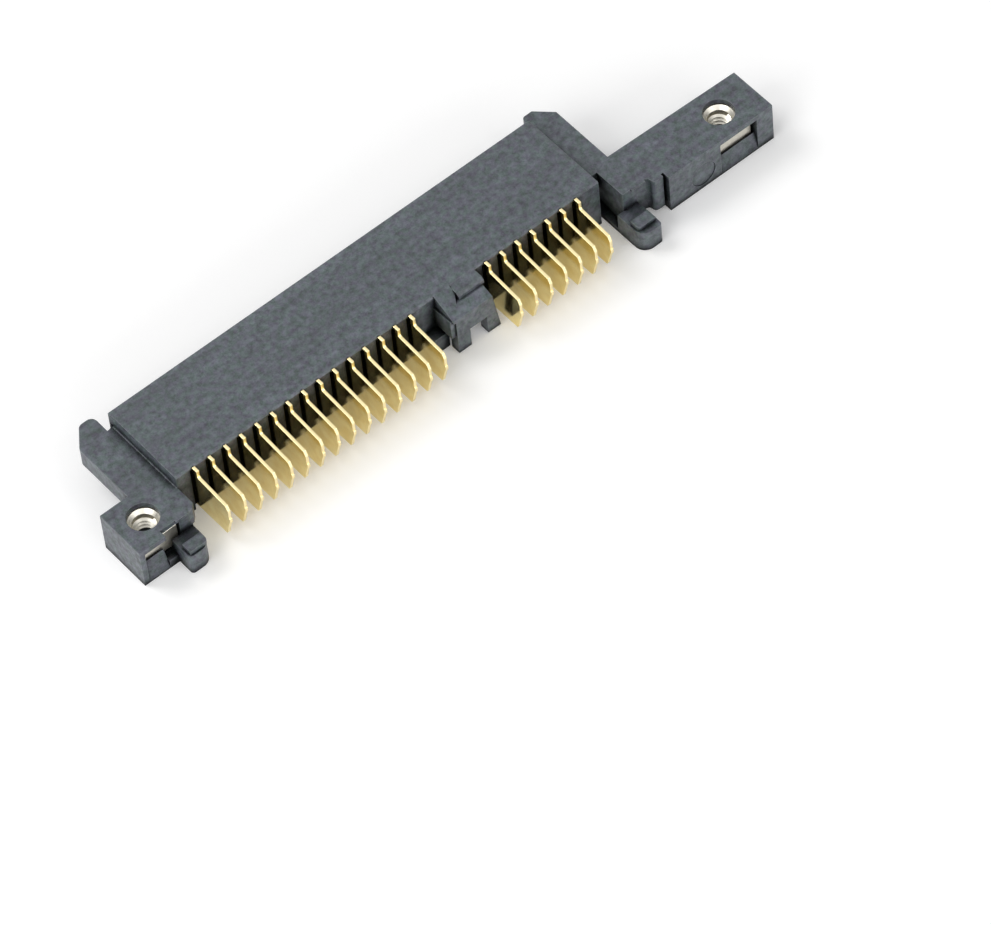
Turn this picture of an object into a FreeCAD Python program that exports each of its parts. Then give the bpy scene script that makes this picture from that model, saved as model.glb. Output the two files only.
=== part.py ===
# Serial ATA receptacle, 22 ways, with rear blades, guide posts and two nut ears
# Lengths are in mm. X runs along the contact row, Y towards the mating face, Z up.
# Construction datum: the left screw hole, with Z = 0 on the seating plane.

import FreeCAD
import Part
import math
import os

V = FreeCAD.Vector

# Contact layout
PITCH = 1.27
POWER_WAYS = 15
SIGNAL_WAYS = 7
GROUP_STEP = 6.35          # from P1 to S7, across the centre web
HOLE_TO_P15 = 4.40         # left screw hole to the first contact
S1_TO_HOLE = 12.05         # last contact to the right screw hole

# Body
BODY_END_LEFT = 1.38       # from P15 to the body's left end
BODY_END_RIGHT = 2.00      # from S1 to the body's right end
REAR_Y = 0.30
BODY_DEPTH = 7.00
BODY_TOP = 4.50
NOSE_BOTTOM = 0.30
FLANGE_BOTTOM = 0.06
FLANGE_DEPTH = 1.60
GROOVE_WIDTH = 0.30
GROOVE_DEPTH = 0.22
REAR_STRIP = 2.10          # lowered strip along the rear of the top face
FRONT_STRIP = 0.85         # sloping strip along the mating edge
STRIP_DROP = 0.09
STRIP_RUN = 0.16
EDGE_ROUND = 0.12
END_SLOPE = 0.42           # sloping strip along the right end of the top face

# Mating slots
TOP_WALL = 1.65
SLOT_HEIGHT = 1.50
SLOT_DEPTH = 5.90
POWER_SLOT_END = 1.05      # from P15 to its slot's end
SIGNAL_SLOT_END = 1.20     # from S1 to its slot's end
KEY_WIDTH = 1.25
KEY_HEIGHT = 0.85
CENTRE_WEB = 2.45
LEAD_IN = 0.28
LEAD_IN_SIDE = 0.12
BEVEL_BACK = 1.30          # set-back of the lower wall at its outer edge

# Contact channels
CHANNEL_WIDTH = 0.56
CHANNEL_HEIGHT = 0.80
CHANNEL_LIP = 0.45
FIRST_MATE_WAYS = (4, 12)  # power ways whose channels reach the mating face
REAR_SLOT_WIDTH = 0.56
REAR_SLOT_DEPTH = 0.35
REAR_SLOT_ROOF = 0.12

# Contacts
CONTACT_THICK = 0.22
STEM_PROUD = 0.50          # rear edge of the stem, behind the rear wall
STEM_TOP_GAP = 0.03
TAIL_TOP = 3.50
TAIL_RISE = 0.25           # extra height of the tail where it meets the stem
TAIL_BOTTOM = 0.42
TAIL_LENGTH = 3.00
TAIL_CHAMFER = 0.40
TAIL_NIB = 0.07
KEEPER_LOW = 1.90
KEEPER_HIGH = 3.55
BEAM_BOW = 0.65            # how far the beam stands into the slot
BEAM_THICK = 0.42
BEAM_POINT = 1.40          # contact point, behind the mating face

# Screw ears
EAR_HEIGHT = 3.40
LEFT_EAR_END = 1.97
LEFT_EAR_FRONT = 1.92
LEFT_EAR_REAR = 2.16
EAR_STEP_Y = 1.60          # rear faces of the ears' inner parts
LEFT_STEP_X = 0.10
LEFT_EAR_INNER = 2.60
RIGHT_EAR_END = 2.95
RIGHT_EAR_REAR = 1.96
ARM_FRONT_ROOT = 2.12
ARM_FRONT_TIP = 1.84
ARM_STEP = 6.00            # right hole to the step in the arm
ARM_ROOT_REAR = 0.98
ARM_ROOT_RUN = 1.00
ARM_ROOT_BOTTOM = 0.40
ARM_SLIT_WIDTH = 0.20
ARM_SLIT_DEPTH = 0.60
PIN_MARK = 2.00            # ejector pin mark on the arm's rear face
PIN_MARK_INSET = 3.10
PIN_MARK_DEPTH = 0.05
BEAD_PROUD = 0.12
BEAD_HEIGHT = 0.15
BEAD_START = 0.70
SCREW_HOLE = 2.20

# Captive nuts
NUT_SIDE = 3.00
NUT_HEIGHT = 2.00
NUT_BORE = 1.60
NUT_SINK = 2.10            # countersink across each end of the bore
NUT_CHAMFER = 0.12
NUT_ROOF = 0.42            # moulding above the nut
NUT_LIP_TOP = 1.50         # top of the lip behind the nut
NUT_LIP = 0.07
NUT_GAP = 0.08
RAMP_FOOT = 0.12

# Guide posts
POST_THICK = 1.50
POST_REACH = 1.15          # tips ahead of the mating face
LEFT_POST_OUT = 0.27
LEFT_TIP_WIDTH = 0.95
LEFT_POST_INSET = 0.50
RIGHT_POST_WIDTH = 2.27
POST_CHAMFER = 1.15
POST_CHAMFER_LEFT_Y = 1.55
POST_FILLET = 1.10
WALL_FILLET = 0.30
SEAM_FILLET = 0.10

# Rear tabs and centre foot
TAB_WIDTH = 1.72
TAB_REAR = 3.52
TAB_HEIGHT = 1.75
TAB_ROUND = 0.85
LEFT_TAB_X = 0.84
TAB_CORNER = 0.25
ROOT_GAP = 0.90            # between the body's right end and the arm's root
ROOT_WEB_Y = 1.60
RIGHT_TAB_OVERLAP = 0.55
PAD_RAISE = 0.34
PAD_DEPTH = 0.85
PAD_INSET = 0.14
RIGHT_PAD_SETBACK = 0.38
LIP_HEIGHT = 0.75
FOOT_WIDTH = 3.50
FOOT_TO_S7 = 0.58
FOOT_REAR = 1.58
FOOT_LEDGE = 3.45
FOOT_VALLEY = 3.85
FOOT_SIDE_DRAFT = 0.60
FOOT_BOTTOM = 0.10
FOOT_RIB = 0.40
LEG_WIDTH = 1.05
LEG_DEPTH = 0.75
NOTCH_TOP = 1.75
GUSSET_SIDE = 0.20
GUSSET_WIDTH = 1.10
SIDE_LEDGE = 0.15
SIDE_LEDGE_Z = 3.40
WEB_TOP = 1.50
WEB_REAR = 0.65
WEB_WIDTH = 1.20

# Places worked out from the driving sizes
P15_X = HOLE_TO_P15
P1_X = P15_X + (POWER_WAYS - 1) * PITCH
S7_X = P1_X + GROUP_STEP
S1_X = S7_X + (SIGNAL_WAYS - 1) * PITCH
HOLE_SPAN = S1_X + S1_TO_HOLE
BODY_LEFT = P15_X - BODY_END_LEFT
BODY_RIGHT = S1_X + BODY_END_RIGHT
MATING_Y = REAR_Y + BODY_DEPTH
SLOT_TOP = BODY_TOP - TOP_WALL
SLOT_BOTTOM = SLOT_TOP - SLOT_HEIGHT
SLOT_BACK = MATING_Y - SLOT_DEPTH
FLANGE_FRONT = REAR_Y + FLANGE_DEPTH
POST_BOTTOM = EAR_HEIGHT - POST_THICK
POST_TIP = MATING_Y + POST_REACH
RIGHT_POST_OUT = BODY_RIGHT + RIGHT_POST_WIDTH
ARM_END = HOLE_SPAN + RIGHT_EAR_END
ARM_STEP_X = HOLE_SPAN - ARM_STEP
NUT_TOP = EAR_HEIGHT - NUT_ROOF - NUT_GAP
NUT_BOTTOM = NUT_TOP - NUT_HEIGHT
FOOT_RIGHT = S7_X - FOOT_TO_S7
FOOT_LEFT = FOOT_RIGHT - FOOT_WIDTH
ROOT_X = BODY_RIGHT + ROOT_GAP
RIGHT_TAB_X = ROOT_X - RIGHT_TAB_OVERLAP
ROOT_STEP_X = ARM_STEP_X - ARM_ROOT_RUN
STRIP_Z = BODY_TOP - STRIP_DROP
REAR_SLOT_TOP = STRIP_Z - EDGE_ROUND - REAR_SLOT_ROOF
MID_X = (ARM_END - LEFT_EAR_END) / 2
MID_Y = (POST_TIP - TAB_REAR) / 2


def box(x0, x1, y0, y1, z0, z1):
    return Part.makeBox(x1 - x0, y1 - y0, z1 - z0, V(x0, y0, z0))


def face_of(points):
    return Part.Face(Part.makePolygon(points + [points[0]]))


def plate_yz(points, x0, x1):
    """Solid with the outline (y, z), from x0 to x1."""
    return face_of([V(x0, y, z) for y, z in points]).extrude(V(x1 - x0, 0, 0))


def plate_xy(points, z0, z1):
    """Solid with the outline (x, y), from z0 to z1."""
    return face_of([V(x, y, z0) for x, y in points]).extrude(V(0, 0, z1 - z0))


def cylinder(x, y, z0, z1, diameter):
    return Part.makeCylinder(diameter / 2, z1 - z0, V(x, y, z0))


def upright_edges(shape, x, y):
    """The edges of shape that stand at (x, y)."""
    found = []
    for edge in shape.Edges:
        ends = [vertex.Point for vertex in edge.Vertexes]
        if len(ends) == 2 and all(abs(p.x - x) < 1e-6 and abs(p.y - y) < 1e-6 for p in ends):
            found.append(edge)
    return found


def cove(x_wall, side, z_floor, rise, radius, y0, y1):
    """Concave fillet between a wall at x_wall and a floor, filling towards side and rise."""
    corner = V(x_wall, y0, z_floor)
    along = V(x_wall + side * radius, y0, z_floor)
    up = V(x_wall, y0, z_floor + rise * radius)
    reach = radius * (1 - math.sqrt(0.5))
    middle = V(x_wall + side * reach, y0, z_floor + rise * reach)
    arc = Part.Arc(along, middle, up).toShape()
    wire = Part.Wire([Part.makeLine(corner, along), arc, Part.makeLine(up, corner)])
    return Part.Face(wire).extrude(V(0, y1 - y0, 0))


def corner_fill(x, y, side_x, side_y, radius, z0, z1):
    """Concave fillet in the upright corner at (x, y), filling towards side_x and side_y."""
    reach = radius * (1 - math.sqrt(0.5))
    start = V(x + side_x * radius, y, z0)
    end = V(x, y + side_y * radius, z0)
    middle = V(x + side_x * reach, y + side_y * reach, z0)
    arc = Part.Arc(start, middle, end).toShape()
    wire = Part.Wire([Part.makeLine(V(x, y, z0), start), arc, Part.makeLine(end, V(x, y, z0))])
    return Part.Face(wire).extrude(V(0, 0, z1 - z0))


def contact_places():
    """Name, place along X and first-mate flag of each contact, from P15 to S1."""
    places = []
    for index in range(POWER_WAYS):
        way = POWER_WAYS - index
        places.append((f"contact_p{way}", P15_X + index * PITCH, way in FIRST_MATE_WAYS))
    for index in range(SIGNAL_WAYS):
        places.append((f"contact_s{SIGNAL_WAYS - index}", S7_X + index * PITCH, False))
    return places


# Body of the moulding

def body_block():
    low_rear = NOSE_BOTTOM + GROOVE_DEPTH
    groove_front = FLANGE_FRONT + GROOVE_WIDTH
    outline = [
        (REAR_Y, FLANGE_BOTTOM),
        (FLANGE_FRONT, FLANGE_BOTTOM),
        (FLANGE_FRONT, low_rear),
        (groove_front, low_rear),
        (groove_front, NOSE_BOTTOM),
        (MATING_Y - BEVEL_BACK, NOSE_BOTTOM),
        (MATING_Y, SLOT_BOTTOM),
        (MATING_Y, STRIP_Z),
        (MATING_Y - FRONT_STRIP, BODY_TOP),
        (REAR_Y + REAR_STRIP, BODY_TOP),
        (REAR_Y + REAR_STRIP - STRIP_RUN, STRIP_Z),
        (REAR_Y + EDGE_ROUND, STRIP_Z),
        (REAR_Y, STRIP_Z - EDGE_ROUND),
    ]
    block = plate_yz(outline, BODY_LEFT, BODY_RIGHT)
    end = face_of([V(BODY_RIGHT - END_SLOPE, -LEAD_IN, BODY_TOP),
                   V(BODY_RIGHT + LEAD_IN, -LEAD_IN, BODY_TOP),
                   V(BODY_RIGHT + LEAD_IN, -LEAD_IN, STRIP_Z - STRIP_DROP),
                   V(BODY_RIGHT, -LEAD_IN, STRIP_Z - STRIP_DROP / 2)])
    return block.cut(end.extrude(V(0, MATING_Y + LEAD_IN * 2, 0)))


def slot_with_mouth(x0, x1, z0, z1):
    """Rectangular cavity with a tapered mouth at the mating face."""
    cavity = box(x0, x1, SLOT_BACK, MATING_Y + LEAD_IN, z0, z1)
    inner = [V(x0, MATING_Y - LEAD_IN, z0), V(x1, MATING_Y - LEAD_IN, z0),
             V(x1, MATING_Y - LEAD_IN, z1), V(x0, MATING_Y - LEAD_IN, z1)]
    wide = LEAD_IN_SIDE * 2
    high = LEAD_IN * 2
    outer = [V(x0 - wide, MATING_Y + LEAD_IN, z0), V(x1 + wide, MATING_Y + LEAD_IN, z0),
             V(x1 + wide, MATING_Y + LEAD_IN, z1 + high), V(x0 - wide, MATING_Y + LEAD_IN, z1 + high)]
    mouth = Part.makeLoft([Part.makePolygon(inner + [inner[0]]),
                           Part.makePolygon(outer + [outer[0]])], True, True)
    return cavity.fuse(mouth)


def mating_slots():
    power_end = P1_X + (GROUP_STEP - CENTRE_WEB) / 2
    signal_start = power_end + CENTRE_WEB
    key_top = SLOT_TOP + KEY_HEIGHT
    return [
        slot_with_mouth(P15_X - POWER_SLOT_END, power_end, SLOT_BOTTOM, SLOT_TOP),
        slot_with_mouth(power_end - KEY_WIDTH, power_end, SLOT_TOP - LEAD_IN, key_top),
        slot_with_mouth(signal_start, S1_X + SIGNAL_SLOT_END, SLOT_BOTTOM, SLOT_TOP),
        slot_with_mouth(signal_start, signal_start + KEY_WIDTH, SLOT_TOP - LEAD_IN, key_top),
    ]


def contact_cuts():
    cuts = []
    half = CONTACT_THICK / 2
    for name, x, first_mate in contact_places():
        front = MATING_Y + LEAD_IN if first_mate else MATING_Y - CHANNEL_LIP
        cuts.append(box(x - CHANNEL_WIDTH / 2, x + CHANNEL_WIDTH / 2, SLOT_BACK, front,
                        SLOT_TOP - LEAD_IN, SLOT_TOP + CHANNEL_HEIGHT))
        cuts.append(box(x - half, x + half, REAR_Y, SLOT_BACK + LEAD_IN, KEEPER_LOW, KEEPER_HIGH))
        cuts.append(box(x - REAR_SLOT_WIDTH / 2, x + REAR_SLOT_WIDTH / 2, REAR_Y - LEAD_IN,
                        REAR_Y + REAR_SLOT_DEPTH, FLANGE_BOTTOM - LEAD_IN, REAR_SLOT_TOP))
    return cuts


# Guide posts

def left_post():
    inner = BODY_LEFT - LEFT_POST_INSET
    tip_out = LEFT_POST_OUT + POST_CHAMFER
    floor = MATING_Y - WALL_FILLET * 1.4
    outline = [
        (LEFT_POST_OUT, 0),
        (LEFT_POST_OUT, POST_TIP - POST_CHAMFER_LEFT_Y),
        (tip_out, POST_TIP),
        (inner, POST_TIP),
        (inner, floor),
        (BODY_LEFT, floor),
        (BODY_LEFT, 0),
    ]
    post = plate_xy(outline, POST_BOTTOM, EAR_HEIGHT)
    tip_edges = upright_edges(post, tip_out, POST_TIP) + upright_edges(post, inner, POST_TIP)
    tip_edges += upright_edges(post, LEFT_POST_OUT, POST_TIP - POST_CHAMFER_LEFT_Y)
    post = post.makeFillet(POST_CHAMFER * 0.42, tip_edges)
    under = cove(BODY_LEFT, -1, POST_BOTTOM, -1, POST_FILLET, LEFT_EAR_FRONT, MATING_Y - BEVEL_BACK)
    above = cove(BODY_LEFT, -1, EAR_HEIGHT, 1, SEAM_FILLET, REAR_Y, floor)
    notch = corner_fill(BODY_LEFT, floor, -1, 1, MATING_Y - floor, POST_BOTTOM, EAR_HEIGHT)
    return [post, under, above, notch]


def right_post():
    tip_in = BODY_RIGHT + WALL_FILLET
    outline = [
        (BODY_RIGHT, ROOT_WEB_Y),
        (BODY_RIGHT, MATING_Y),
        (tip_in, POST_TIP),
        (RIGHT_POST_OUT - POST_CHAMFER, POST_TIP),
        (RIGHT_POST_OUT, POST_TIP - POST_CHAMFER),
        (RIGHT_POST_OUT, ROOT_WEB_Y),
    ]
    post = plate_xy(outline, POST_BOTTOM, EAR_HEIGHT)
    post = post.makeFillet(WALL_FILLET, upright_edges(post, tip_in, POST_TIP))
    under = cove(BODY_RIGHT, 1, POST_BOTTOM, -1, POST_FILLET, ARM_FRONT_ROOT, MATING_Y - BEVEL_BACK)
    above = cove(BODY_RIGHT, 1, EAR_HEIGHT, 1, SEAM_FILLET, ROOT_WEB_Y, MATING_Y - WALL_FILLET)
    return [post, under, above]


# Screw ears

def left_ear():
    outer = box(-LEFT_EAR_END, LEFT_STEP_X, -LEFT_EAR_REAR, LEFT_EAR_FRONT, 0, EAR_HEIGHT)
    inner = box(LEFT_STEP_X, LEFT_EAR_INNER, -EAR_STEP_Y, LEFT_EAR_FRONT, 0, EAR_HEIGHT)
    bridge = box(LEFT_POST_OUT, BODY_LEFT, -EAR_STEP_Y, LEFT_EAR_FRONT, POST_BOTTOM, EAR_HEIGHT)
    bridge = bridge.makeChamfer(WALL_FILLET, upright_edges(bridge, BODY_LEFT, -EAR_STEP_Y))
    lip = box(LEFT_STEP_X, LEFT_TAB_X + TAB_WIDTH / 2, -LEFT_EAR_REAR, -EAR_STEP_Y, 0, LIP_HEIGHT)
    bead = box(LEFT_EAR_INNER - WALL_FILLET - ARM_ROOT_RUN, LEFT_EAR_INNER - WALL_FILLET,
               -EAR_STEP_Y - BEAD_PROUD, -EAR_STEP_Y, EAR_HEIGHT - BEAD_HEIGHT, EAR_HEIGHT)
    return [outer, inner, bridge, lip, bead]


def right_ear():
    slope = (ARM_FRONT_ROOT - ARM_FRONT_TIP) / (ARM_END - RIGHT_POST_OUT)
    step_front = ARM_FRONT_ROOT - slope * (ARM_STEP_X - RIGHT_POST_OUT)
    outer = plate_xy([(ARM_STEP_X, -RIGHT_EAR_REAR), (ARM_END, -RIGHT_EAR_REAR),
                      (ARM_END, ARM_FRONT_TIP), (ARM_STEP_X, step_front)], 0, EAR_HEIGHT)
    root = plate_xy([(ROOT_X, -ARM_ROOT_REAR), (ROOT_STEP_X, -ARM_ROOT_REAR),
                     (ROOT_STEP_X, -EAR_STEP_Y), (ARM_STEP_X, -EAR_STEP_Y),
                     (ARM_STEP_X, step_front), (RIGHT_POST_OUT, ARM_FRONT_ROOT),
                     (ROOT_X, ARM_FRONT_ROOT)], ARM_ROOT_BOTTOM, EAR_HEIGHT)
    root = root.makeFillet(WALL_FILLET, upright_edges(root, ROOT_STEP_X, -EAR_STEP_Y))
    blend = corner_fill(ROOT_STEP_X, -ARM_ROOT_REAR, -1, -1, WALL_FILLET,
                        ARM_ROOT_BOTTOM, EAR_HEIGHT)
    web = box(BODY_RIGHT, ROOT_X, ROOT_WEB_Y, ARM_FRONT_ROOT, POST_BOTTOM, EAR_HEIGHT)
    floor = box(RIGHT_TAB_X, ROOT_X, -ARM_ROOT_REAR, ROOT_WEB_Y, 0, ARM_ROOT_BOTTOM)
    foot = box(RIGHT_TAB_X, RIGHT_TAB_X + TAB_WIDTH, -ARM_ROOT_REAR, ARM_FRONT_ROOT,
               0, ARM_ROOT_BOTTOM)
    bead = box(ROOT_X + BEAD_START, ROOT_STEP_X - WALL_FILLET, -ARM_ROOT_REAR - BEAD_PROUD,
               -ARM_ROOT_REAR, EAR_HEIGHT - BEAD_HEIGHT, EAR_HEIGHT)
    return [outer, root, blend, web, floor, foot, bead]


def nut_pocket(x, rear, step_x):
    """Pocket for a nut, with a window and a ramped lip to the rear; step_x ends the lip."""
    side = NUT_SIDE / 2 + NUT_GAP
    high = NUT_TOP + NUT_GAP
    lip = -side - NUT_LIP
    pocket = box(x - side, x + side, -side, side, NUT_BOTTOM, high)
    window = box(x - side, step_x, -rear - NUT_GAP, 0, NUT_LIP_TOP, high)
    ramp = plate_yz([(lip, NUT_LIP_TOP), (-rear - NUT_GAP, NUT_LIP_TOP),
                     (-rear - NUT_GAP, RAMP_FOOT), (-rear, RAMP_FOOT)], x - side, step_x)
    pieces = [window, ramp]
    if step_x < x + side:
        pieces.append(box(step_x, x + side, -EAR_STEP_Y, 0, NUT_BOTTOM, high))
    return pocket.fuse(pieces)


def ear_cuts():
    cuts = []
    right_step = HOLE_SPAN + NUT_SIDE / 2 + NUT_GAP
    for x, rear, step_x in ((0, LEFT_EAR_REAR, LEFT_STEP_X), (HOLE_SPAN, RIGHT_EAR_REAR, right_step)):
        cuts.append(nut_pocket(x, rear, step_x))
        cuts.append(cylinder(x, 0, -NUT_GAP, EAR_HEIGHT + NUT_GAP, SCREW_HOLE))
    cuts.append(box(ARM_STEP_X - ARM_SLIT_WIDTH, ARM_STEP_X, -RIGHT_EAR_REAR,
                    -RIGHT_EAR_REAR + ARM_SLIT_DEPTH, -NUT_GAP, EAR_HEIGHT + NUT_GAP))
    mark = Part.makeCylinder(PIN_MARK / 2, PIN_MARK_DEPTH * 2,
                             V(HOLE_SPAN - PIN_MARK_INSET, -RIGHT_EAR_REAR - PIN_MARK_DEPTH,
                               EAR_HEIGHT * 0.4), V(0, 1, 0))
    cuts.append(mark)
    return cuts


# Tabs and foot at the rear

def rear_tab(x, inner_side, front, pad_setback):
    """Tab with one broad and one small rear corner and a raised pad; inner_side is -1 or +1."""
    tab = box(x, x + TAB_WIDTH, -TAB_REAR, -front, 0, TAB_HEIGHT)
    broad, small = (x + TAB_WIDTH, x) if inner_side > 0 else (x, x + TAB_WIDTH)
    tab = tab.makeFillet(TAB_ROUND, upright_edges(tab, broad, -TAB_REAR))
    tab = tab.makeFillet(TAB_CORNER, upright_edges(tab, small, -TAB_REAR))
    pad_rear = -TAB_REAR + PAD_INSET + pad_setback
    pad = box(x + PAD_INSET, x + TAB_WIDTH - PAD_INSET, pad_rear, pad_rear + PAD_DEPTH,
              TAB_HEIGHT, TAB_HEIGHT + PAD_RAISE)
    pad_corner = x + TAB_WIDTH - PAD_INSET if inner_side > 0 else x + PAD_INSET
    pad = pad.makeFillet(PAD_DEPTH * 0.35, upright_edges(pad, pad_corner, pad_rear))
    return [tab, pad]


def centre_foot():
    """Foot between the two groups: rib, gusset, ledge and two short legs."""
    top = STRIP_Z - EDGE_ROUND
    valley = -FOOT_RIB * 2
    rib = plate_yz([
        (REAR_Y, top),
        (-FOOT_RIB, top),
        (-FOOT_RIB * 1.5, top - FOOT_RIB / 2),
        (-FOOT_RIB * 1.6, FOOT_VALLEY),
        (REAR_Y, FOOT_VALLEY),
    ], FOOT_LEFT + GUSSET_WIDTH, FOOT_RIGHT - FOOT_SIDE_DRAFT / 2)
    block = plate_yz([
        (REAR_Y, FOOT_VALLEY),
        (valley, FOOT_VALLEY),
        (-FOOT_REAR, FOOT_LEDGE),
        (-FOOT_REAR, FOOT_BOTTOM),
        (-FOOT_REAR + LEG_DEPTH, FOOT_BOTTOM),
        (-FOOT_REAR + LEG_DEPTH, NOTCH_TOP),
        (REAR_Y, NOTCH_TOP),
    ], FOOT_LEFT, FOOT_RIGHT)
    notch = box(FOOT_LEFT + LEG_WIDTH, FOOT_RIGHT - LEG_WIDTH, -FOOT_REAR - LEAD_IN, REAR_Y,
                0, NOTCH_TOP)
    draft = face_of([V(FOOT_RIGHT, -FOOT_REAR - LEAD_IN, FOOT_BOTTOM),
                     V(FOOT_RIGHT + LEAD_IN, -FOOT_REAR - LEAD_IN, FOOT_BOTTOM),
                     V(FOOT_RIGHT + LEAD_IN, -FOOT_REAR - LEAD_IN, BODY_TOP),
                     V(FOOT_RIGHT - FOOT_SIDE_DRAFT, -FOOT_REAR - LEAD_IN, BODY_TOP)])
    block = block.cut([notch, draft.extrude(V(0, FOOT_REAR + LEAD_IN + REAR_Y, 0))])
    side = FOOT_LEFT - GUSSET_SIDE
    slope = plate_yz([(REAR_Y + EDGE_ROUND, STRIP_Z), (REAR_Y, STRIP_Z), (-FOOT_REAR, FOOT_LEDGE),
                      (-FOOT_REAR, SIDE_LEDGE_Z - SIDE_LEDGE), (REAR_Y + EDGE_ROUND,
                      SIDE_LEDGE_Z - SIDE_LEDGE)], side, FOOT_LEFT + GUSSET_WIDTH)
    gusset = slope.common(plate_xy([
        (side, REAR_Y + EDGE_ROUND), (side, -FOOT_REAR), (FOOT_LEFT + GUSSET_SIDE, -FOOT_REAR),
        (FOOT_LEFT + GUSSET_WIDTH, -FOOT_RIB / 2),
        (FOOT_LEFT + GUSSET_WIDTH, REAR_Y + EDGE_ROUND)], 0, BODY_TOP))
    ledge = box(side - SIDE_LEDGE, FOOT_LEFT, -FOOT_REAR + SIDE_LEDGE, REAR_Y, NOTCH_TOP,
                SIDE_LEDGE_Z)
    web = box(FOOT_LEFT - WEB_WIDTH, FOOT_LEFT, -WEB_REAR, REAR_Y, FLANGE_BOTTOM, WEB_TOP)
    return [rib, block, gusset, ledge, web]


# One moulding

def housing():
    solids = left_post() + right_post() + left_ear() + right_ear() + centre_foot()
    solids += rear_tab(LEFT_TAB_X, 1, EAR_STEP_Y, 0)
    solids += rear_tab(RIGHT_TAB_X, -1, ARM_ROOT_REAR, RIGHT_PAD_SETBACK)
    moulding = body_block().multiFuse(solids)
    moulding = moulding.cut(mating_slots() + contact_cuts() + ear_cuts())
    return moulding.removeSplitter()


# Contacts

def contact(x, first_mate):
    """Stamped contact: spring beam in front, keeper and stem, blade tail behind."""
    seat = REAR_Y + REAR_SLOT_DEPTH
    stem = REAR_Y - STEM_PROUD
    shoulder = REAR_SLOT_TOP - STEM_TOP_GAP
    stem_top = STRIP_Z - STEM_TOP_GAP
    root = TAIL_TOP + TAIL_RISE
    tail = stem - TAIL_LENGTH
    point_y = MATING_Y - BEAM_POINT
    point_z = SLOT_TOP - BEAM_BOW
    tip_y = MATING_Y - CHANNEL_LIP * (0.35 if first_mate else 1.35)
    tip_z = SLOT_TOP + BEAM_THICK / 2
    nib_low = (TAIL_TOP + TAIL_BOTTOM) / 2
    nib_high = nib_low + TAIL_CHAMFER
    corner = TAIL_CHAMFER / 4

    def edge(y0, z0, y1, z1):
        return Part.makeLine(V(x, y0, z0), V(x, y1, z1))

    def bow(y, z):
        return Part.Arc(V(x, y - BEAM_THICK, z + BEAM_THICK / 4), V(x, y, z),
                        V(x, y + BEAM_THICK, z + BEAM_THICK / 4)).toShape()

    path = [
        (seat, shoulder), (REAR_Y - STEM_TOP_GAP, shoulder), (REAR_Y - STEM_TOP_GAP, stem_top),
        (stem, stem_top), (stem, root + corner), (stem - corner, root),
        (tail + TAIL_CHAMFER / 2, TAIL_TOP),
        (tail, TAIL_TOP - TAIL_CHAMFER), (tail, nib_high), (tail - TAIL_NIB, nib_high),
        (tail - TAIL_NIB, nib_low), (tail, nib_low), (tail + TAIL_CHAMFER, TAIL_BOTTOM + corner),
        (tail + TAIL_CHAMFER + corner, TAIL_BOTTOM), (seat, TAIL_BOTTOM), (seat, KEEPER_LOW),
        (SLOT_BACK, KEEPER_LOW), (SLOT_BACK, SLOT_TOP - BEAM_THICK / 3),
        (point_y - BEAM_THICK, point_z + BEAM_THICK / 4),
    ]
    edges = [edge(*start, *end) for start, end in zip(path, path[1:])]
    edges.append(bow(point_y, point_z))
    front = [
        (point_y + BEAM_THICK, point_z + BEAM_THICK / 4), (tip_y, tip_z),
        (tip_y - BEAM_THICK / 2, tip_z + BEAM_THICK / 2),
        (point_y + BEAM_THICK, point_z + BEAM_THICK * 1.25),
    ]
    edges += [edge(*start, *end) for start, end in zip(front, front[1:])]
    edges.append(bow(point_y, point_z + BEAM_THICK))
    back = [(point_y - BEAM_THICK, point_z + BEAM_THICK * 1.25), (SLOT_BACK, KEEPER_HIGH),
            (seat, KEEPER_HIGH), (seat, shoulder)]
    edges += [edge(*start, *end) for start, end in zip(back, back[1:])]
    outline = Part.Face(Part.Wire(Part.__sortEdges__(edges)))
    plate = outline.extrude(V(CONTACT_THICK, 0, 0))
    plate.translate(V(-CONTACT_THICK / 2, 0, 0))
    return plate


# Square nuts

def square_nut(x):
    half = NUT_SIDE / 2
    nut = box(x - half, x + half, -half, half, NUT_BOTTOM, NUT_TOP)
    nut = nut.makeChamfer(NUT_CHAMFER, nut.Edges)
    sink = (NUT_SINK - NUT_BORE) / 2
    bore = cylinder(x, 0, NUT_BOTTOM, NUT_TOP, NUT_BORE)
    upper = Part.makeCone(NUT_BORE / 2, NUT_SINK / 2, sink, V(x, 0, NUT_TOP - sink))
    lower = Part.makeCone(NUT_SINK / 2, NUT_BORE / 2, sink, V(x, 0, NUT_BOTTOM))
    return nut.cut([bore, upper, lower])


def save(name, shape):
    placed = shape.copy()
    placed.translate(V(-MID_X, -MID_Y, 0))
    placed.exportStep(f"parts/{name}.step")


os.makedirs("parts", exist_ok=True)
save("housing", housing())
for contact_name, contact_x, is_first_mate in contact_places():
    save(contact_name, contact(contact_x, is_first_mate))
save("nut_left", square_nut(0))
save("nut_right", square_nut(HOLE_SPAN))
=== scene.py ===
"""A 22-way serial ATA receptacle with upright rear blades, two guide posts and two screw ears,
lying on a pale table under soft studio light."""
import math

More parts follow.
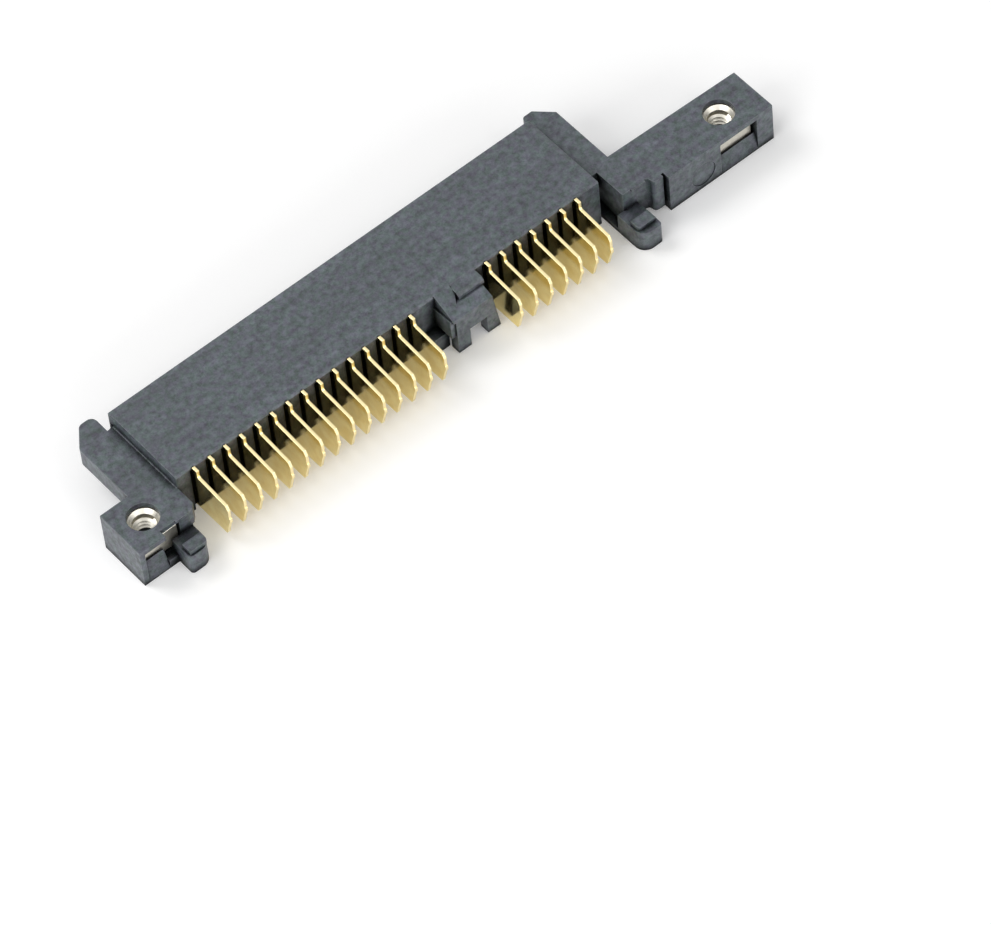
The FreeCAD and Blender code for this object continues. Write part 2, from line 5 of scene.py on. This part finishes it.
import bpy
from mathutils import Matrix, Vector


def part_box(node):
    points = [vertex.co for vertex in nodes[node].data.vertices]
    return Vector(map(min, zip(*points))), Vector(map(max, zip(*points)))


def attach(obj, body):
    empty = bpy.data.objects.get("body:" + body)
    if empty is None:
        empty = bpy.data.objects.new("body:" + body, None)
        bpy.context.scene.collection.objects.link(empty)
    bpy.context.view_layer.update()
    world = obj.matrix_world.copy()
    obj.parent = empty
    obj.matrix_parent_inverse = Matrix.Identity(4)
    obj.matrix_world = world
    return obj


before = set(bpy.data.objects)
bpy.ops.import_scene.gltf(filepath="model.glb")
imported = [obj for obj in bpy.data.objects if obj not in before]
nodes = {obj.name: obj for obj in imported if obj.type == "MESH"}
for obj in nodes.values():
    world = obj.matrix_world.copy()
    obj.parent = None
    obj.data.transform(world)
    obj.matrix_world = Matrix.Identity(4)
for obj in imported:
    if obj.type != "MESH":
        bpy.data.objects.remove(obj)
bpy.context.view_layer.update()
MM = 0.001

# The table: a seamless matt white acrylic sheet under the connector. The camera and reflections
# see it glow faintly, which whitens the ground, and a soft shadow still falls on the blade side.

TABLE_WIDTH = 3  # metres
TABLE_GLOW = 0.14


def linear(hex_colour):
    """An sRGB hex colour as the linear RGBA that a shader takes."""
    channels = [int(hex_colour[i:i + 2], 16) / 255 for i in (1, 3, 5)]
    lit = [c / 12.92 if c <= 0.04045 else ((c + 0.055) / 1.055) ** 2.4 for c in channels]
    return (*lit, 1)


def finish_named(name):
    """A new material, its node tree and the one Principled surface in it."""
    material = bpy.data.materials.new(name)
    material.use_nodes = True
    tree = material.node_tree
    tree.nodes.clear()
    output = tree.nodes.new("ShaderNodeOutputMaterial")
    surface = tree.nodes.new("ShaderNodeBsdfPrincipled")
    tree.links.new(surface.outputs[0], output.inputs["Surface"])
    return material, tree, surface


def add(tree, kind, settings=None, **inputs):
    """Adds a node with its settings. An input is given by name, or as i0, i1 where nodes repeat a
    name, and one that is a socket is linked."""
    node = tree.nodes.new(kind)
    for key, value in (settings or {}).items():
        setattr(node, key, value)
    for key, value in inputs.items():
        numbered = key[0] == "i" and key[1:].isdigit()
        socket = node.inputs[int(key[1:]) if numbered else key.replace("_", " ")]
        if isinstance(value, bpy.types.NodeSocket):
            tree.links.new(value, socket)
        else:
            socket.default_value = value
    return node


def seen(tree, unseen, shown):
    """A strength: shown to camera, glossy and transmission rays, and unseen to all others."""
    ray = add(tree, "ShaderNodeLightPath").outputs
    mirrored = add(tree, "ShaderNodeMath", {"operation": "MAXIMUM"}, i0=ray["Is Glossy Ray"],
                   i1=ray["Is Transmission Ray"])
    either = add(tree, "ShaderNodeMath", {"operation": "MAXIMUM"}, i0=ray["Is Camera Ray"],
                 i1=mirrored.outputs["Value"])
    return add(tree, "ShaderNodeMapRange", None, Value=either.outputs["Value"], To_Min=unseen,
               To_Max=shown).outputs["Result"]


bpy.ops.object.select_all(action="DESELECT")
bpy.ops.mesh.primitive_plane_add(size=TABLE_WIDTH, location=(0, 0, 0))
table = bpy.context.object
table.name = "table"
table_sheet, tree, surface = finish_named("matt_white_acrylic_sheet")
surface.inputs["Base Color"].default_value = linear("#f6f6f6")
surface.inputs["Roughness"].default_value = 0.9
surface.inputs["Emission Color"].default_value = linear("#ffffff")
tree.links.new(seen(tree, 0.0, TABLE_GLOW), surface.inputs["Emission Strength"])
table.data.materials.append(table_sheet)

# Camera: a long lens looking down over the blade side from the left, as the connector is
# photographed. Its place is in millimetres and its turn in degrees.

CAMERA_PLACE = (-150.137, -222.660, 344.828)
CAMERA_TURN = (36.4287, 3.8493, -39.9770)
LENS_LENGTH = 244.59
SENSOR_WIDTH = 36

bpy.ops.object.camera_add(location=[length * MM for length in CAMERA_PLACE],
                          rotation=[math.radians(angle) for angle in CAMERA_TURN])
camera = bpy.context.object
camera.data.sensor_width = SENSOR_WIDTH
camera.data.lens = LENS_LENGTH
camera.data.clip_start = 0.01
camera.data.clip_end = 10
bpy.context.scene.camera = camera

# Light: a key softbox behind and to the left, two more low on the left and in front for the ends
# and the blade side, and two small ones for glints in the metal, all in a pale room. Each has its
# place and size in metres and its power in watts.

LAMPS = {
    "softbox_key": ((-0.22, 0.38, 0.5), (0.35, 0.35), 1.9),
    "softbox_left": ((-0.5, -0.1, 0.3), (0.4, 0.4), 1.3),
    "softbox_front": ((-0.05, -0.6, 0.2), (0.9, 0.35), 2.0),
    "spark_left": ((-0.386, 0.0, 0.46), (0.1, 0.1), 0.12),
    "spark_right": ((0.169, -0.347, 0.46), (0.1, 0.1), 0.12),
}
ROOM_LIGHT = 0.38
ROOM_SEEN = 1.0  # white to the camera and in reflections

for name, (place, size, watts) in LAMPS.items():
    bpy.ops.object.light_add(type="AREA", location=place)
    lamp = bpy.context.object
    lamp.name = name
    lamp.data.shape = "RECTANGLE"
    lamp.data.size, lamp.data.size_y = size
    lamp.data.energy = watts
    away = math.hypot(place[0], place[1])
    heading = math.atan2(-place[1], -place[0])
    lamp.rotation_euler = (math.atan2(away, place[2]), 0, heading - math.pi / 2)

world = bpy.data.worlds.new("pale_room")
bpy.context.scene.world = world
world.use_nodes = True
room = world.node_tree
room.nodes["Background"].inputs["Color"].default_value = linear("#ffffff")
room.links.new(seen(room, ROOM_LIGHT, ROOM_SEEN), room.nodes["Background"].inputs["Strength"])

bpy.context.scene.view_settings.view_transform = "Standard"

# Housing: one injection moulding in black glass-filled nylon, which the filler greys and mottles
# in green and violet, drawn out along the flow. Its edges are painted paler, a painted highlight
# where the faces turn. Painted shade from an occlusion node makes the crevices darker than the
# lamps alone leave them, and dims their reflections.

CLOUD_SIZE = 0.5
FILLER_SIZE = 0.4
FLOW_SIZE = 0.6
FLOW_STRETCH = 0.12
MOULD_GRIT = 0.11  # drawn coarser than the real grit, which is too fine to show
GRIT_HEIGHT = 0.02
MOULDED_EDGE = 0.07
CREVICE_REACH = 1.0

glass_filled_nylon, tree, surface = finish_named("glass_filled_nylon_moulded")
place = add(tree, "ShaderNodeTexCoord").outputs["Object"]
clouds = add(tree, "ShaderNodeTexNoise", None, Vector=place, Scale=1 / (CLOUD_SIZE * MM),
             Detail=5.0, Roughness=0.8)
tone = add(tree, "ShaderNodeValToRGB", None, Fac=clouds.outputs["Fac"])
for stop, position, shade in zip(tone.color_ramp.elements, (0.37, 0.63), ("#171d20", "#636d72")):
    stop.position, stop.color = position, linear(shade)
filler = add(tree, "ShaderNodeTexNoise", None, Vector=place, Scale=1 / (FILLER_SIZE * MM),
             Detail=3.0)
hue = add(tree, "ShaderNodeValToRGB", None, Fac=filler.outputs["Fac"])
for stop, position, shade in zip(hue.color_ramp.elements, (0.38, 0.62), ("#3c4f48", "#50485e")):
    stop.position, stop.color = position, linear(shade)
speckled = add(tree, "ShaderNodeMixRGB", None, Fac=0.4, Color1=tone.outputs["Color"],
               Color2=hue.outputs["Color"])
along = add(tree, "ShaderNodeVectorMath", {"operation": "MULTIPLY"}, i0=place,
            i1=(FLOW_STRETCH, 1.0, 1.0))
flow = add(tree, "ShaderNodeTexNoise", None, Vector=along.outputs["Vector"],
           Scale=1 / (FLOW_SIZE * MM), Detail=4.0)
drawn = add(tree, "ShaderNodeMapRange", None, Value=flow.outputs["Fac"], From_Min=0.3,
            From_Max=0.7, To_Min=0.8, To_Max=1.18)
body_colour = add(tree, "ShaderNodeMixRGB", {"blend_type": "MULTIPLY"}, Fac=1.0,
                  Color1=speckled.outputs["Color"], Color2=drawn.outputs["Result"])
edge = add(tree, "ShaderNodeBevel", {"samples": 6}, Radius=MOULDED_EDGE * MM)
face = add(tree, "ShaderNodeNewGeometry")
turn = add(tree, "ShaderNodeVectorMath", {"operation": "DOT_PRODUCT"}, i0=edge.outputs["Normal"],
           i1=face.outputs["Normal"])
# Painted highlight: where the bevelled normal turns away from the face, the colour is mixed
# towards a paler grey.
painted_edge_highlight = add(tree, "ShaderNodeMapRange", None, Value=turn.outputs["Value"], From_Min=0.99,
           From_Max=0.8, To_Min=0.0, To_Max=0.55)
# Painted shade: where the occlusion node finds the moulding closed in, the colour and the
# reflection are darkened.
closed_in = add(tree, "ShaderNodeAmbientOcclusion", {"samples": 8}, Distance=CREVICE_REACH * MM)
painted_crevice_shade = add(tree, "ShaderNodeMapRange", None, Value=closed_in.outputs["AO"], From_Min=0.5,
            From_Max=0.9, To_Min=0.05, To_Max=1.0)
crevice = add(tree, "ShaderNodeMixRGB", {"blend_type": "MULTIPLY"}, Fac=1.0,
              Color1=body_colour.outputs["Color"], Color2=painted_crevice_shade.outputs["Result"])
open_edge_highlight = add(tree, "ShaderNodeMath", {"operation": "MULTIPLY"}, i0=painted_edge_highlight.outputs["Result"],
                i1=painted_crevice_shade.outputs["Result"])
paled = add(tree, "ShaderNodeMixRGB", None, Fac=open_edge_highlight.outputs["Value"],
            Color1=crevice.outputs["Color"], Color2=linear("#7b8286"))
grit = add(tree, "ShaderNodeTexNoise", None, Vector=place, Scale=1 / (MOULD_GRIT * MM),
           Detail=3.0, Roughness=0.6)
skin = add(tree, "ShaderNodeBump", None, Strength=0.3, Distance=GRIT_HEIGHT * MM,
           Height=grit.outputs["Fac"], Normal=edge.outputs["Normal"])
sheen = add(tree, "ShaderNodeMapRange", None, Value=clouds.outputs["Fac"], From_Min=0.3,
            From_Max=0.7, To_Min=0.48, To_Max=0.34)
dimmed = add(tree, "ShaderNodeMath", {"operation": "MULTIPLY"}, i0=painted_crevice_shade.outputs["Result"], i1=0.5)
tree.links.new(paled.outputs["Color"], surface.inputs["Base Color"])
tree.links.new(skin.outputs["Normal"], surface.inputs["Normal"])
tree.links.new(sheen.outputs["Result"], surface.inputs["Roughness"])
tree.links.new(dimmed.outputs["Value"], surface.inputs["Specular IOR Level"])
surface.inputs["IOR"].default_value = 1.57
nodes["housing"].data.materials.clear()
nodes["housing"].data.materials.append(glass_filled_nylon)

# Contacts: stamped copper alloy, plated with nickel and gold. The rolled broad sides are smooth
# enough to mirror the sheet and the body. The sheared edges are a little duller, and are painted
# pale cream as a painted highlight along them.

PLATE_DRIFT = 0.9
STAMPED_EDGE = 0.08

gold_plate, tree, surface = finish_named("gold_plated_stamping")
place = add(tree, "ShaderNodeTexCoord").outputs["Object"]
drift = add(tree, "ShaderNodeTexNoise", None, Vector=place, Scale=1 / (PLATE_DRIFT * MM),
            Detail=2.0)
tint = add(tree, "ShaderNodeValToRGB", None, Fac=drift.outputs["Fac"])
for stop, position, shade in zip(tint.color_ramp.elements, (0.35, 0.65), ("#efd98c", "#f9e8a6")):
    stop.position, stop.color = position, linear(shade)
facing = add(tree, "ShaderNodeSeparateXYZ", None,
             Vector=add(tree, "ShaderNodeNewGeometry").outputs["True Normal"])
across = add(tree, "ShaderNodeMath", {"operation": "ABSOLUTE"}, i0=facing.outputs["X"])
sheared = add(tree, "ShaderNodeMath", {"operation": "LESS_THAN"}, i0=across.outputs["Value"],
              i1=0.5)
# Painted highlight: faces that don't face along X, the sheared edges, take a pale cream colour.
plate_colour = add(tree, "ShaderNodeMixRGB", None, Fac=sheared.outputs["Value"],
                   Color1=tint.outputs["Color"], Color2=linear("#f8e8b4"))
polish = add(tree, "ShaderNodeMapRange", None, Value=sheared.outputs["Value"], To_Min=0.15,
             To_Max=0.3)
edge = add(tree, "ShaderNodeBevel", {"samples": 6}, Radius=STAMPED_EDGE * MM)
tree.links.new(plate_colour.outputs["Color"], surface.inputs["Base Color"])
tree.links.new(polish.outputs["Result"], surface.inputs["Roughness"])
tree.links.new(edge.outputs["Normal"], surface.inputs["Normal"])
surface.inputs["Metallic"].default_value = 1.0
for name, node in nodes.items():
    if name.startswith("contact_"):
        node.data.materials.clear()
        node.data.materials.append(gold_plate)

# Captive nuts: brass with bright nickel plating, loose in their pockets. Between its countersinks
# each bore carries three turns of right-hand thread, drawn as M1.6 with a pitch of 0.35 mm and
# sharp 60 degree crests. The photo settles neither that size nor the nuts' square outline.

STAIN_SIZE = 0.5
THREAD_PITCH = 0.35
THREAD_TURNS = 3
THREAD_STEPS = 48
CREST_RADIUS = 0.62
FLANK_REACH = 0.147  # from the middle of the three-cornered section to each corner
SAME_POINT = 0.001
SMOOTH_BELOW = 40  # degrees

nickel_plate, tree, surface = finish_named("nickel_plated_brass")
place = add(tree, "ShaderNodeTexCoord").outputs["Object"]
dull = add(tree, "ShaderNodeTexNoise", None, Vector=place, Scale=1 / (STAIN_SIZE * MM), Detail=3.0)
gloss = add(tree, "ShaderNodeMapRange", None, Value=dull.outputs["Fac"], To_Min=0.28, To_Max=0.42)
tree.links.new(gloss.outputs["Result"], surface.inputs["Roughness"])
surface.inputs["Base Color"].default_value = linear("#ddd9cd")
surface.inputs["Metallic"].default_value = 1.0
for name in ("nut_left", "nut_right"):
    nodes[name].data.materials.clear()
    nodes[name].data.materials.append(nickel_plate)

bpy.ops.object.select_all(action="DESELECT")
bpy.ops.mesh.primitive_circle_add(vertices=3, radius=FLANK_REACH * MM,
                                  rotation=(-math.pi / 2, math.pi / 2, 0))
bpy.ops.object.transform_apply(location=False, rotation=True, scale=False)
thread = bpy.context.object
thread.name = "thread_left"
bpy.ops.object.mode_set(mode="EDIT")
bpy.ops.mesh.select_all(action="SELECT")
bpy.ops.transform.translate(value=((CREST_RADIUS + FLANK_REACH) * MM, 0,
                                   -THREAD_TURNS * THREAD_PITCH / 2 * MM))
bpy.ops.object.mode_set(mode="OBJECT")
helix = thread.modifiers.new("helix", "SCREW")
helix.axis = "Z"
helix.angle = 2 * math.pi
helix.screw_offset = THREAD_PITCH * MM
helix.iterations = THREAD_TURNS
helix.steps = helix.render_steps = THREAD_STEPS
bpy.ops.object.modifier_apply(modifier="helix")
bpy.ops.object.mode_set(mode="EDIT")
bpy.ops.mesh.select_all(action="SELECT")
bpy.ops.mesh.remove_doubles(threshold=SAME_POINT * MM)
bpy.ops.mesh.select_all(action="SELECT")
bpy.ops.mesh.fill_holes(sides=3)
bpy.ops.mesh.select_all(action="SELECT")
bpy.ops.mesh.normals_make_consistent(inside=False)
bpy.ops.object.mode_set(mode="OBJECT")
bpy.ops.object.shade_smooth_by_angle(angle=math.radians(SMOOTH_BELOW))
thread.data.materials.append(nickel_plate)
bpy.ops.object.duplicate()
thread_twin = bpy.context.object
thread_twin.name = "thread_right"
for piece, nut in ((thread, "nut_left"), (thread_twin, "nut_right")):
    bpy.ops.object.select_all(action="DESELECT")
    piece.select_set(True)
    bpy.context.view_layer.objects.active = piece
    lowest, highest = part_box(nut)
    piece.location = (lowest + highest) / 2
    bpy.ops.object.transform_apply(location=True, rotation=False, scale=False)
    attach(piece, "root")
